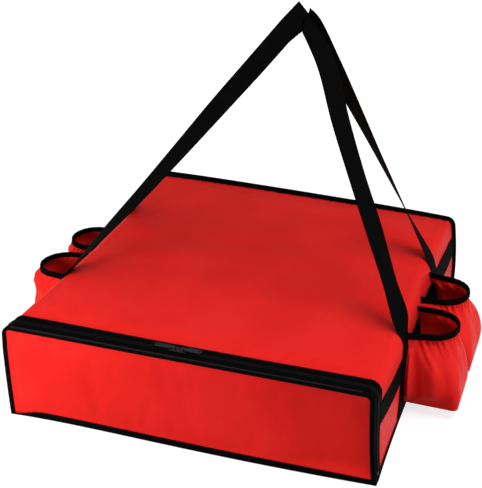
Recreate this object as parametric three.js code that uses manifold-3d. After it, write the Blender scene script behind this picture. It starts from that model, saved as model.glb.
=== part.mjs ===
// Insulated pizza delivery bag: a padded box with a zipped front flap, two webbing handles
// and four cup pockets. Millimetres, +Z up, front towards -Y, origin on the floor below the
// middle of the box. The flap stands closed, and the handles are drawn up to one point.

import * as THREE from 'three';
import { mergeVertices } from 'three/addons/utils/BufferGeometryUtils.js';
import Module from 'manifold-3d';

const wasm = await Module();
wasm.setup();

// Overall size of the box
const bagWidth = 610;
const bagDepth = 610;
const bagHeight = 165;
const foldRadius = 18;

// Layers of every wall, from the outside in
const clothThickness = 0.8;
const foamThickness = 6;
const liningThickness = 0.4;
const layerGap = 0.3;

// Binding tape over the seams
const bindingThickness = 1;
const rimBindingWidth = 11;
const sleeveBindingWidth = 12;
const bottomBindingHeight = 12;
const floorClearance = 0.4;

// Zipper
const chainSpace = 10.6;
const chainGap = 1.4;
const flapTapeWidth = 4;
const tapeThickness = 0.6;
const coilWidth = 3;
const coilHeight = 2;
const toothPitch = 4;
const toothDepth = 1.5;
const stopLength = 5;
const stopHeight = 2.2;

// Sliders and their pulls
const sliderLength = 13;
const sliderNoseWidth = 9.2;
const sliderWidth = 12;
const sliderTailWidth = 9.8;
const sliderGap = 0.8;
const sliderClearance = 0.8;
const sliderPlate = 1.4;
const sliderFloorClearance = 0.4;
const flangeThickness = 0.8;
const flangeClearance = 0.4;
const postThickness = 0.8;
const postLength = 3;
const earThickness = 1;
const earLength = 3;
const pinRadius = 0.8;
const pinClearance = 0.3;
const eyeWall = 0.9;
const eyeWidth = 4.6;
const pullLength = 32;
const pullWidth = 8.4;
const pullNeckLength = 5;
const pullThickness = 1.2;
const pullHoleRadius = 1.8;

// Webbing
const webbingWidth = 38;
const webbingThickness = 1.6;
const bandHeight = 94;
const strapOffset = 131;
const strapTop = 158;
const crossingSlope = 6;

// Handles, drawn up to one point above the bag
const pivotHeight = 170;
const uprightLength = 19;
const apexAcross = 103;
const apexHeight = 617;
const apexWidth = 24;
const apexSpacing = 4;
const handleFullTwist = Math.PI / 2;
const handleTwistPower = 3;

// Cup pockets
const pocketDepth = 88;
const pocketFloor = 22;
const pocketTop = 152;
const pocketCloth = 1.6;
const pocketCorner = 18;
const mouthRadius = 39;
const mouthDepth = 80;
const mouthSeam = 52;
const mouthBindingHeight = 10;

// Smoothness of round stretches
const foldSteps = 6;
const pocketSteps = 5;
const legSteps = 12;
const endSteps = 4;
const discSteps = 8;

// Places worked out from the sizes above
const halfWidth = bagWidth / 2;
const halfDepth = bagDepth / 2;
const stackDepth = clothThickness + foamThickness + liningThickness + 2 * layerGap;
const panelFace = halfDepth - bindingThickness - layerGap;
const panelInside = panelFace - stackDepth;
const rimBack = panelInside - layerGap - bindingThickness;
const sleeveFront = -(rimBack - chainSpace);
const sleeveBack = panelInside - layerGap;
const wallFoot = floorClearance + bindingThickness + layerGap;
const rimFoot = floorClearance + bottomBindingHeight + layerGap;
const rimOuter = layerGap + bindingThickness;
const tapeLow = layerGap;
const tapeHigh = tapeLow + tapeThickness;
const coilLow = tapeHigh + layerGap;
const coilHigh = coilLow + coilHeight;
const flapTapeBack = -rimBack + layerGap + flapTapeWidth;
const chainCentre = flapTapeBack + chainGap / 2;
const sleeveTapeFront = flapTapeBack + chainGap;
const sleeveBindingBack = sleeveFront + sleeveBindingWidth;
const coilFoot = rimFoot + stopLength + layerGap;
const webbingLow = layerGap;
const webbingHigh = webbingLow + webbingThickness;
const crossingLow = webbingHigh + layerGap;
const crossingHigh = crossingLow + webbingThickness;
const pocketHalfWidth = (strapOffset - webbingWidth / 2) / 2 - layerGap;
const pocketCentre = (strapOffset - webbingWidth / 2) / 2;
const pocketPlane = halfWidth + crossingLow;

// Layers of a wall as depths below its outer face
const foamOuter = clothThickness + layerGap;
const foamInner = foamOuter + foamThickness;
const liningOuter = foamInner + layerGap;
const wallLayers = [
  { piece: 'outer', from: 0, to: clothThickness },
  { piece: 'foam', from: foamOuter, to: foamInner },
  { piece: 'lining', from: liningOuter, to: stackDepth },
];

// Materials
const finish = (color, roughness, metalness = 0) =>
  new THREE.MeshStandardMaterial({ color, roughness, metalness });
const materials = {
  outer: finish(0xd62220, 0.5),
  foam: finish(0xd9d9d4, 0.9),
  lining: finish(0xb9bcbf, 0.3, 0.6),
  webbing: finish(0x0d0f0e, 0.85),
  zipper: finish(0x121413, 0.6),
  slider: finish(0x1a1b1c, 0.35, 0.7),
};

const bag = new THREE.Group();

function addPiece(name, geometry, material) {
  const mesh = new THREE.Mesh(welded(geometry), materials[material]);
  mesh.name = name;
  bag.add(mesh);
}

// Keeps positions only, so that neighbouring faces share their corners
function welded(geometry) {
  const plain = geometry.clone();
  plain.deleteAttribute('normal');
  plain.deleteAttribute('uv');
  return mergeVertices(plain);
}

function volumeOf(points, faces) {
  let sum = 0;
  for (const [a, b, c] of faces) {
    sum += points[a].dot(new THREE.Vector3().crossVectors(points[b], points[c]));
  }
  return sum;
}

function geometryOf(points, faces) {
  const outward = volumeOf(points, faces) > 0;
  const ordered = outward ? faces : faces.map(([a, b, c]) => [a, c, b]);
  const geometry = new THREE.BufferGeometry();
  geometry.setFromPoints(points);
  geometry.setIndex(ordered.flat());
  return geometry;
}

// Skins a row of closed rings with equal counts, and closes both ends
function loft(rings, outline) {
  const count = outline.length;
  const faces = [];
  for (let ring = 0; ring + 1 < rings.length; ring += 1) {
    for (let corner = 0; corner < count; corner += 1) {
      const next = (corner + 1) % count;
      const [a, b] = [ring * count + corner, ring * count + next];
      faces.push([a, b, b + count], [a, b + count, a + count]);
    }
  }
  const last = (rings.length - 1) * count;
  const along = Math.sign(THREE.ShapeUtils.area(outline));
  for (const face of THREE.ShapeUtils.triangulateShape(outline, [])) {
    const turn = Math.sign(THREE.ShapeUtils.area(face.map((corner) => outline[corner])));
    const [a, b, c] = turn === along ? face : [face[0], face[2], face[1]];
    faces.push([a, c, b], [last + a, last + b, last + c]);
  }
  return geometryOf(rings.flat(), faces);
}

// Carries a flat section along stations, each a point with an outward and an across direction
function sweep(stations, section) {
  const outline = section.map(([out, across]) => new THREE.Vector2(out, across));
  const rings = stations.map((station) =>
    section.map(([out, across]) =>
      station.point
        .clone()
        .addScaledVector(station.out, out)
        .addScaledVector(station.across, across),
    ),
  );
  return loft(rings, outline);
}

function prism(points, length) {
  const shape = new THREE.Shape(points.map(([x, y]) => new THREE.Vector2(x, y)));
  return extrude(shape, length);
}

function extrude(shape, length) {
  return new THREE.ExtrudeGeometry(shape, {
    depth: length,
    bevelEnabled: false,
    curveSegments: discSteps,
  });
}

// A prism whose outline is given as x and z, from one y to another
function prismAlongY(points, from, to) {
  return prism(points, to - from).rotateX(Math.PI / 2).translate(0, to, 0);
}

// A prism whose outline is given as y and z, from one x to another
function prismAlongX(points, from, to) {
  const turn = new THREE.Matrix4().makeBasis(
    new THREE.Vector3(0, 1, 0),
    new THREE.Vector3(0, 0, 1),
    new THREE.Vector3(1, 0, 0),
  );
  return prism(points, to - from).applyMatrix4(turn).translate(from, 0, 0);
}

function rectangle(left, low, right, high) {
  return [
    [left, low],
    [right, low],
    [right, high],
    [left, high],
  ];
}

// The line that the top and both sides share, seen from the front, with its outward direction
function archStations(foot) {
  const across = new THREE.Vector3(0, 1, 0);
  const station = (x, z, angle) => ({
    point: new THREE.Vector3(x, 0, z),
    out: new THREE.Vector3(Math.cos(angle), 0, Math.sin(angle)),
    across,
  });
  const stations = [station(-halfWidth, foot, Math.PI)];
  for (const side of [-1, 1]) {
    for (let step = 0; step <= foldSteps; step += 1) {
      const turn = (step / foldSteps) * (Math.PI / 2);
      const angle = side < 0 ? Math.PI - turn : Math.PI / 2 - turn;
      const x = side * (halfWidth - foldRadius) + foldRadius * Math.cos(angle);
      const z = bagHeight - foldRadius + foldRadius * Math.sin(angle);
      stations.push(station(x, z, angle));
    }
  }
  stations.push(station(halfWidth, foot, 0));
  return stations;
}

function arch(section, foot) {
  return sweep(archStations(foot), section);
}

// A flat panel with the outline of the arch, between two places along Y
function archPanel(from, to) {
  const points = archStations(wallFoot).map(({ point }) => [point.x, point.z]);
  return prismAlongY(points, from, to);
}

// Sleeve: the top and both sides are one folded sheet in three layers
function addSleeve() {
  for (const { piece, from, to } of wallLayers) {
    const section = rectangle(-to, sleeveFront, -from, sleeveBack);
    addPiece(`sleeve_${piece}`, arch(section, wallFoot), piece);
  }
}

// Bottom: three layers between the side walls, resting on the floor
function addBottom() {
  const reach = halfWidth - stackDepth - layerGap;
  const front = -rimBack + layerGap;
  for (const { piece, from, to } of wallLayers) {
    const outline = rectangle(-reach, from, reach, to);
    addPiece(`bottom_${piece}`, prismAlongY(outline, front, sleeveBack), piece);
  }
}

// Back panel, and the front flap that mirrors it
function addBackAndFlap() {
  for (const { piece, from, to } of wallLayers) {
    addPiece(`back_${piece}`, archPanel(panelFace - to, panelFace - from), piece);
    addPiece(`flap_${piece}`, archPanel(from - panelFace, to - panelFace), piece);
  }
}

// Binding folded round the flap's free edge, with a leg on each face
function addFlapRimBinding() {
  const leg = rimOuter - rimBindingWidth;
  const section = [
    [rimOuter, -halfDepth],
    [rimOuter, -rimBack],
    [leg, -rimBack],
    [leg, -rimBack - bindingThickness],
    [layerGap, -rimBack - bindingThickness],
    [layerGap, -halfDepth + bindingThickness],
    [leg, -halfDepth + bindingThickness],
    [leg, -halfDepth],
  ];
  addPiece('flap_rim_binding', arch(section, rimFoot), 'webbing');
}

// Binding over the back panel's edge, from the back face on to the top and sides
function addBackRimBinding() {
  const leg = rimOuter - rimBindingWidth;
  const section = [
    [rimOuter, halfDepth],
    [leg, halfDepth],
    [leg, halfDepth - bindingThickness],
    [layerGap, halfDepth - bindingThickness],
    [layerGap, halfDepth - rimBindingWidth],
    [rimOuter, halfDepth - rimBindingWidth],
  ];
  addPiece('back_rim_binding', arch(section, rimFoot), 'webbing');
}

// Binding over the sleeve's front edge, on top of the zipper tape
function addSleeveRimBinding() {
  const low = tapeHigh + layerGap;
  const section = rectangle(low, sleeveFront, low + bindingThickness, sleeveBindingBack);
  addPiece('sleeve_rim_binding', arch(section, rimFoot), 'webbing');
}

// Outline of a binding at the foot of a wall: a tall outer leg and a lip under the wall
function footBinding(side, outer, inner) {
  const low = floorClearance;
  return [
    [side * outer, low],
    [side * outer, low + bottomBindingHeight],
    [side * (outer - bindingThickness), low + bottomBindingHeight],
    [side * (outer - bindingThickness), low + bindingThickness],
    [side * inner, low + bindingThickness],
    [side * inner, low],
  ];
}

function addBottomBindings() {
  const sideOuter = halfWidth + rimOuter;
  const sideInner = halfWidth - stackDepth;
  for (const [name, side] of [['left', -1], ['right', 1]]) {
    const outline = footBinding(side, sideOuter, sideInner);
    const geometry = prismAlongY(outline, -rimBack + layerGap, sleeveBack);
    addPiece(`${name}_bottom_binding`, geometry, 'webbing');
  }
  const back = footBinding(1, halfDepth, panelInside);
  addPiece('back_bottom_binding', prismAlongX(back, -sideOuter, sideOuter), 'webbing');
  const front = footBinding(-1, halfDepth, rimBack);
  addPiece('flap_hinge_binding', prismAlongX(front, -sideOuter, sideOuter), 'webbing');
}

// Zipper tapes, one on the flap and one on the sleeve
function addZipTapes() {
  const flapSection = rectangle(tapeLow, -rimBack + layerGap, tapeHigh, flapTapeBack);
  addPiece('flap_zip_tape', arch(flapSection, rimFoot), 'zipper');
  const back = sleeveBindingBack - layerGap;
  const sleeveSection = rectangle(tapeLow, sleeveTapeFront, tapeHigh, back);
  addPiece('sleeve_zip_tape', arch(sleeveSection, rimFoot), 'zipper');
}

// The same line's station at a run from the middle of the top, negative to the left
function archStationAt(run) {
  const side = Math.sign(run) || 1;
  const flat = halfWidth - foldRadius;
  const past = Math.max(Math.abs(run) - flat, 0);
  const turn = Math.min(past / foldRadius, Math.PI / 2);
  const drop = past - foldRadius * turn;
  const x = Math.min(Math.abs(run), flat) + foldRadius * Math.sin(turn);
  const z = bagHeight - foldRadius + foldRadius * Math.cos(turn) - drop;
  return {
    point: new THREE.Vector3(side * x, 0, z),
    out: new THREE.Vector3(side * Math.sin(turn), 0, Math.cos(turn)),
    across: new THREE.Vector3(0, 1, 0),
  };
}

// One row of teeth along the arch, from its back edge to the tips that face the other row. The
// first row begins with a gap between teeth and the second with a tooth, so the rows alternate.
function toothRow(backEdge, tips, startsWithTooth) {
  const flat = halfWidth - foldRadius;
  const reach = flat + foldRadius * (Math.PI / 2) + bagHeight - foldRadius - coilFoot;
  const steps = 2 * Math.round((2 * reach) / toothPitch);
  const gap = tips + Math.sign(backEdge - tips) * toothDepth;
  const rings = [];
  for (let step = 0; step <= steps; step += 1) {
    const isTooth = (step % 2 === 0) === startsWithTooth;
    const section = rectangle(coilLow, backEdge, coilHigh, isTooth ? tips : gap);
    const station = archStationAt(reach * ((2 * step) / steps - 1));
    rings.push(
      section.map(([out, across]) =>
        station.point
          .clone()
          .addScaledVector(station.out, out)
          .addScaledVector(station.across, across),
      ),
    );
  }
  const outline = rectangle(coilLow, backEdge, coilHigh, tips);
  return loft(rings, outline.map(([x, y]) => new THREE.Vector2(x, y)));
}

// Zipper coils on the facing edges of the two tapes
function addZipCoils() {
  const flapRow = toothRow(flapTapeBack - coilWidth, flapTapeBack, false);
  addPiece('flap_zip_coil', flapRow, 'zipper');
  const sleeveRow = toothRow(sleeveTapeFront + coilWidth, sleeveTapeFront, true);
  addPiece('sleeve_zip_coil', sleeveRow, 'zipper');
}

// Stops below the lower ends of the sleeve's coil
function addZipStops() {
  for (const [name, side] of [['left', -1], ['right', 1]]) {
    const inner = side * (halfWidth + coilLow);
    const outer = side * (halfWidth + coilLow + stopHeight);
    const outline = rectangle(inner, rimFoot, outer, rimFoot + stopLength);
    const back = sleeveTapeFront + coilWidth;
    addPiece(`${name}_zip_stop`, prismAlongY(outline, sleeveTapeFront, back), 'slider');
  }
}

function toManifold(geometry) {
  const plain = welded(geometry);
  return new wasm.Manifold(
    new wasm.Mesh({
      numProp: 3,
      vertProperties: new Float32Array(plain.attributes.position.array),
      triVerts: new Uint32Array(plain.index.array),
    }),
  );
}

function fromManifold(solid) {
  const { vertProperties, triVerts } = solid.getMesh();
  const geometry = new THREE.BufferGeometry();
  geometry.setAttribute('position', new THREE.BufferAttribute(new Float32Array(vertProperties), 3));
  geometry.setIndex(new THREE.BufferAttribute(new Uint32Array(triVerts), 1));
  return geometry;
}

function joined(geometries) {
  return fromManifold(geometries.map(toManifold).reduce((whole, part) => whole.add(part)));
}

// Heights of the slider's parts above the top cloth
const plateLow = coilHigh + sliderClearance;
const plateHigh = plateLow + sliderPlate;
const floorHigh = tapeLow - sliderFloorClearance;
const floorLow = floorHigh - sliderPlate;
const eyeRadius = pinRadius + pinClearance + eyeWall;
const pinHeight = plateHigh + sliderFloorClearance + eyeRadius;
const pinAlong = sliderLength / 2;

// A slider in its own frame: x outward along the chain, y across it, z above the top cloth
function sliderGeometry() {
  const nose = sliderNoseWidth / 2;
  const shoulder = sliderWidth / 2;
  const tail = sliderTailWidth / 2;
  const plate = [
    [0, -nose],
    [sliderLength / 4, -shoulder],
    [sliderLength, -tail],
    [sliderLength, tail],
    [sliderLength / 4, shoulder],
    [0, nose],
  ];
  const flangeInner = chainGap / 2 + coilWidth + flangeClearance;
  const flangeOuter = flangeInner + flangeThickness;
  const floor = rectangle(0, -nose + flangeClearance, sliderLength, flangeInner);
  const post = rectangle(flangeThickness, -postThickness / 2,
    flangeThickness + postLength, postThickness / 2);
  const flange = rectangle(flangeThickness, flangeInner, sliderLength, flangeOuter);
  const flangeLow = tapeHigh + flangeClearance;
  const ear = new THREE.Shape();
  ear.moveTo(pinAlong - earLength / 2, plateLow);
  ear.lineTo(pinAlong + earLength / 2, plateLow);
  ear.lineTo(pinAlong + earLength / 2, pinHeight);
  ear.absarc(pinAlong, pinHeight, earLength / 2, 0, Math.PI);
  const earAt = (y) => extrude(ear, earThickness).rotateX(Math.PI / 2).translate(0, y, 0);
  const pinSpan = eyeWidth + earThickness;
  const pin = new THREE.CylinderGeometry(pinRadius, pinRadius, pinSpan, discSteps);
  const earGap = eyeWidth / 2 + pinClearance;
  return joined([
    prism(plate, sliderPlate).translate(0, 0, plateLow),
    prism(floor, sliderPlate).translate(0, 0, floorLow),
    prism(post, plateHigh - floorLow).translate(0, 0, floorLow),
    prism(flange, plateHigh - flangeLow).translate(0, 0, flangeLow),
    earAt(earGap + earThickness),
    earAt(-earGap),
    pin.translate(pinAlong, 0, pinHeight),
  ]);
}

// A pull in the slider's frame, lying flat outward from the slider's pin
function pullGeometry() {
  const eye = new THREE.Shape();
  eye.absarc(pinAlong, pinHeight, eyeRadius, 0, 2 * Math.PI);
  const bore = new THREE.Path();
  bore.absarc(pinAlong, pinHeight, pinRadius + pinClearance, 0, 2 * Math.PI, true);
  eye.holes.push(bore);
  const neckStart = pinAlong + pinRadius + pinClearance + eyeWall / 2;
  const neckEnd = pinAlong + pullNeckLength;
  const tip = pinAlong + pullLength;
  const blade = new THREE.Shape();
  blade.moveTo(neckStart, -eyeWidth / 2);
  blade.lineTo(neckEnd, -eyeWidth / 2);
  blade.lineTo(neckEnd + pullWidth / 2, -pullWidth / 2);
  blade.lineTo(tip - pullWidth / 2, -pullWidth / 2);
  blade.absarc(tip - pullWidth / 2, 0, pullWidth / 2, -Math.PI / 2, Math.PI / 2);
  blade.lineTo(neckEnd + pullWidth / 2, pullWidth / 2);
  blade.lineTo(neckEnd, eyeWidth / 2);
  blade.lineTo(neckStart, eyeWidth / 2);
  const hole = new THREE.Path();
  hole.absarc(tip - pullWidth / 2, 0, pullHoleRadius, 0, 2 * Math.PI, true);
  blade.holes.push(hole);
  return joined([
    extrude(eye, eyeWidth).rotateX(Math.PI / 2).translate(0, eyeWidth / 2, 0),
    extrude(blade, pullThickness).translate(0, 0, pinHeight - pullThickness / 2),
  ]);
}

function addSliders() {
  const sliderShape = sliderGeometry();
  const pullShape = pullGeometry();
  for (const [name, side] of [['left', -1], ['right', 1]]) {
    for (const [piece, shape] of [['slider', sliderShape], ['pull', pullShape]]) {
      const points = [];
      const source = welded(shape);
      const position = source.attributes.position;
      for (let index = 0; index < position.count; index += 1) {
        const point = new THREE.Vector3().fromBufferAttribute(position, index);
        const x = side * (sliderGap / 2 + point.x);
        points.push(new THREE.Vector3(x, chainCentre + point.y, bagHeight + point.z));
      }
      const corners = Array.from(source.index.array);
      const faces = [];
      while (corners.length > 0) {
        faces.push(corners.splice(-3));
      }
      addPiece(`${name}_${piece}`, geometryOf(points, faces), 'slider');
    }
  }
}

// Horizontal webbing band along each side, sewn on under the upright straps
function addSideBands() {
  for (const [name, side] of [['left', -1], ['right', 1]]) {
    const outline = rectangle(
      side * (halfWidth + webbingLow),
      bandHeight,
      side * (halfWidth + webbingHigh),
      bandHeight + webbingWidth,
    );
    const front = sleeveBindingBack + layerGap;
    const back = halfDepth - rimBindingWidth - layerGap;
    addPiece(`${name}_side_band`, prismAlongY(outline, front, back), 'webbing');
  }
}

// Upright strap from the bottom seam to the top fold, stepping out over the band
function addSideStraps() {
  const bandTop = bandHeight + webbingWidth;
  const rise = crossingHigh - webbingHigh;
  const inner = [
    [webbingLow, rimFoot],
    [webbingLow, bandHeight - crossingSlope],
    [crossingLow, bandHeight - rise],
    [crossingLow, bandTop + rise],
    [webbingLow, bandTop + crossingSlope],
    [webbingLow, strapTop],
  ];
  const outline = [
    ...inner,
    ...inner.map(([out, height]) => [out + webbingThickness, height]).reverse(),
  ];
  for (const [name, side] of [['left', -1], ['right', 1]]) {
    for (const [place, end] of [['front', -1], ['back', 1]]) {
      const points = outline.map(([out, height]) => [side * (halfWidth + out), height]);
      const middle = end * strapOffset;
      const geometry = prismAlongY(points, middle - webbingWidth / 2, middle + webbingWidth / 2);
      addPiece(`${name}_${place}_side_strap`, geometry, 'webbing');
    }
  }
}

// Stations up one leg of a handle, from its round lower end to the point that both legs share
function legStations(side, end) {
  const planeX = side * (halfWidth + crossingLow + webbingThickness / 2);
  const foot = new THREE.Vector3(planeX, end * strapOffset, pivotHeight);
  const bend = foot.clone().setZ(pivotHeight + uprightLength);
  const apex = new THREE.Vector3(apexAcross, end * apexSpacing / 2, apexHeight);
  const along = new THREE.Vector3().subVectors(apex, bend).normalize();
  const upright = new THREE.Vector3(0, 0, 1);
  const across = new THREE.Vector3(0, 1, 0);
  const stations = [];
  for (let step = endSteps; step >= 0; step -= 1) {
    const turn = (step / (endSteps + 1)) * (Math.PI / 2);
    const drop = (webbingWidth / 2) * Math.sin(turn);
    const point = foot.clone().setZ(pivotHeight - drop);
    const width = Math.cos(turn);
    stations.push({ point, out: new THREE.Vector3(1, 0, 0), across: across.clone(), width });
  }
  const bisector = along.clone().add(upright).normalize();
  stations.push(crossStation(bend, bisector, across, 1));
  for (let step = 1; step < legSteps; step += 1) {
    const share = step / legSteps;
    const turn = -handleFullTwist * share ** handleTwistPower;
    const point = new THREE.Vector3().lerpVectors(bend, apex, share);
    const turned = across.clone().applyAxisAngle(along, -side * end * turn);
    stations.push(crossStation(point, along, turned, 1));
  }
  return { stations, apex, along };
}

// A station whose across direction is kept square to the leg
function crossStation(point, along, wanted, width) {
  const across = wanted.clone().addScaledVector(along, -wanted.dot(along)).normalize();
  const out = new THREE.Vector3().crossVectors(across, along);
  return { point, out, across, width };
}

function addHandles() {
  for (const [name, end] of [['front_handle', -1], ['back_handle', 1]]) {
    const left = legStations(-1, end);
    const right = legStations(1, end);
    const over = left.along.clone().sub(right.along).normalize();
    const upward = new THREE.Vector3(0, 0, 1);
    const apex = crossStation(left.apex, over, upward, apexWidth / webbingWidth);
    const chain = [...left.stations, apex, ...right.stations.reverse()];
    addPiece(name, ribbon(chain), 'webbing');
  }
}

// Skins a webbing along its stations, each turned to lie beside the one before it
function ribbon(stations) {
  const half = webbingWidth / 2;
  const outline = rectangle(-webbingThickness / 2, -half, webbingThickness / 2, half);
  const rings = [];
  let previous = null;
  for (const station of stations) {
    const across = station.across.clone();
    const out = station.out.clone();
    if (previous && across.dot(previous.across) < 0) {
      across.negate();
    }
    if (previous && out.dot(previous.out) < 0) {
      out.negate();
    }
    previous = { across, out };
    rings.push(
      outline.map(([thick, wide]) =>
        station.point
          .clone()
          .addScaledVector(out, thick)
          .addScaledVector(across, wide * station.width),
      ),
    );
  }
  return loft(rings, outline.map(([x, y]) => new THREE.Vector2(x, y)));
}

// Cup pocket: levels from its flat base to its gathered mouth, as shares of its height and of
// the way from the full outline to the mouth's
const pocketLevelShares = [
  [0, 0],
  [0.35, 0],
  [0.62, 0.08],
  [0.78, 0.4],
  [0.89, 0.85],
  [0.92, 1],
  [1, 1],
];

// The pocket's line in plan at one level, from the side panel round and back to it
function pocketPlan(towardsMouth) {
  const blend = (full, mouth) => THREE.MathUtils.lerp(full, mouth, towardsMouth);
  const seam = blend(pocketHalfWidth, mouthSeam);
  const half = blend(pocketHalfWidth, mouthRadius);
  const depth = blend(pocketDepth, mouthDepth);
  const radius = blend(pocketCorner, mouthRadius);
  const centre = new THREE.Vector2(depth - radius, -(half - radius));
  const toSeam = new THREE.Vector2(0, -seam).sub(centre);
  const start = Math.atan2(toSeam.y, toSeam.x) + Math.acos(radius / toSeam.length());
  const plan = [{ x: 0, y: -seam, out: new THREE.Vector2(0, -1) }];
  for (let step = 0; step <= pocketSteps; step += 1) {
    const angle = start * (1 - step / pocketSteps);
    const out = new THREE.Vector2(Math.cos(angle), Math.sin(angle));
    plan.push({ x: centre.x + radius * out.x, y: centre.y + radius * out.y, out });
  }
  const mirrored = plan.map(({ x, y, out }) => ({ x, y: -y, out: new THREE.Vector2(out.x, -out.y) }));
  return [...plan, ...mirrored.reverse()];
}

function pocketStations(plan, side, middle, height) {
  return plan.map(({ x, y, out }) => ({
    point: new THREE.Vector3(side * (pocketPlane + x), middle + y, height),
    out: new THREE.Vector3(side * out.x, out.y, 0),
    across: new THREE.Vector3(0, 0, 1),
  }));
}

function pocketWall(side, middle) {
  const rings = pocketLevelShares.map(([rise, towardsMouth]) => {
    const height = THREE.MathUtils.lerp(pocketFloor, pocketTop, rise);
    const stations = pocketStations(pocketPlan(towardsMouth), side, middle, height);
    const outer = stations.map(({ point }) => point);
    const inner = stations.map(({ point, out }) =>
      point.clone().addScaledVector(out, -pocketCloth),
    );
    return [...outer, ...inner.reverse()];
  });
  const outline = rings[0].map((point) => new THREE.Vector2(point.x, point.y));
  return loft(rings, outline);
}

function pocketBase(side, middle) {
  const inset = pocketCloth + layerGap;
  const points = pocketPlan(0).map(({ x, y, out }) => [
    side * (pocketPlane + x - inset * out.x),
    middle + y - inset * out.y,
  ]);
  return prism(points, pocketCloth).translate(0, 0, pocketFloor);
}

// Elastic binding folded over the pocket's mouth
function pocketBinding(side, middle) {
  const stations = pocketStations(pocketPlan(1), side, middle, pocketTop);
  const outer = layerGap + bindingThickness;
  const inner = -pocketCloth - outer;
  const foot = outer - mouthBindingHeight;
  const section = [
    [outer, foot],
    [outer, outer],
    [inner, outer],
    [inner, foot],
    [inner + bindingThickness, foot],
    [inner + bindingThickness, layerGap],
    [layerGap, layerGap],
    [layerGap, foot],
  ];
  return sweep(stations, section);
}

function addPockets() {
  for (const [name, side] of [['left', -1], ['right', 1]]) {
    for (const [place, end] of [['front', -1], ['back', 1]]) {
      const middle = end * pocketCentre;
      const pocket = `${name}_${place}_pocket`;
      addPiece(`${pocket}_wall`, pocketWall(side, middle), 'outer');
      addPiece(`${pocket}_base`, pocketBase(side, middle), 'outer');
      addPiece(`${pocket}_elastic`, pocketBinding(side, middle), 'webbing');
    }
  }
}

addSleeve();
addBottom();
addBackAndFlap();
addFlapRimBinding();
addBackRimBinding();
addSleeveRimBinding();
addBottomBindings();
addZipTapes();
addZipCoils();
addZipStops();
addSliders();
addSideBands();
addSideStraps();
addHandles();
addPockets();

export default bag;
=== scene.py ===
"""The look of the insulated delivery bag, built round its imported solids.

Every piece is first laid out on the plain box, in millimetres, and then carried into place by one
soft deformation of the whole bag (softened), so that what is sewn on stays on what carries it.
"""
import math

import bpy
import numpy as np
from mathutils import Matrix, Vector


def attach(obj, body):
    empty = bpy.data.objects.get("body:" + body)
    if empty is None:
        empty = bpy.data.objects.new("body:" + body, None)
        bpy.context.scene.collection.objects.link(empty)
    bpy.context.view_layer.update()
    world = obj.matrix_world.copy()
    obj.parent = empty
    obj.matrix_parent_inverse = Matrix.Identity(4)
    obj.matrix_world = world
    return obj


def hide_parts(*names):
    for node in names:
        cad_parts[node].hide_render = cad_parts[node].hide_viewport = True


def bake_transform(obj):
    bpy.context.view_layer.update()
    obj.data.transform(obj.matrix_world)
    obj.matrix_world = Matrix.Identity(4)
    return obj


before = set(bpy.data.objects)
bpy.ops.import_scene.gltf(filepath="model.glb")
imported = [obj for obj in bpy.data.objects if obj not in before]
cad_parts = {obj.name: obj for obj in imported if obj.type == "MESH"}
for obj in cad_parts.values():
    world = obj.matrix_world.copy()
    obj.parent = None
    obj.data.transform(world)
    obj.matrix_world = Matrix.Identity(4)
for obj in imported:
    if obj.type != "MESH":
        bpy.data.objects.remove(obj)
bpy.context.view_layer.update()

MM = 0.001

# Sizes of the bag, millimetres
HALF = 305.0
HEIGHT = 165.0
FOLD = 18.0
PANEL_FACE = 303.7
FOOT = 1.7
RIM_FOOT = 12.7
CLOTH, PADDING, FOIL, LAYER_GAP = 0.8, 6.0, 0.4, 0.12
SLEEVE_FRONT, SLEEVE_BACK = -284.0, 295.6
PANEL_INSIDE = 295.9
BINDING = 1.0
CHAIN_Y = -289.6
FLAT = HALF - FOLD
ARC = FOLD * math.pi / 2
SIDE_TOP = FLAT + ARC
# The folds grow tighter by this much between two depths, and their ends are eased in over a run
FOLD_TIGHTER, TIGHTER_FROM, TIGHTER_TO, FOLD_EASE = 9.0, 120, 285, 60
SLEEVE_BINDING = 12
SIDES = (("left", -1), ("right", 1))
ENDS = (("front", -1), ("back", 1))


def smooth(low, high, value):
    t = np.clip((value - low) / (high - low), 0, 1)
    return t * t * (3 - 2 * t)


def arch(s, y=0.0):
    """Point and outward direction on the line over the top and down both sides, s from the middle.

    The folds are rounder at the front and tighter towards the back."""
    s, y = np.broadcast_arrays(np.asarray(s, float), np.asarray(y, float))
    side, run = np.sign(s), np.abs(s)
    fold = FOLD - FOLD_TIGHTER * smooth(TIGHTER_FROM, TIGHTER_TO, y)
    run = run + (2 - math.pi / 2) * (FOLD - fold) * smooth(FLAT - FOLD_EASE, SIDE_TOP, run)
    flat = HALF - fold
    turn = np.clip((run - flat) / fold, 0, math.pi / 2)
    x = np.minimum(run, flat) + fold * np.sin(turn)
    z = HEIGHT - fold + fold * np.cos(turn) - np.maximum(run - flat - fold * math.pi / 2, 0)
    return side * x, z, side * np.sin(turn), np.cos(turn)


def along_side(z):
    """The distance along the arch at which its side is z high."""
    return SIDE_TOP + HEIGHT - FOLD - z


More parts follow.
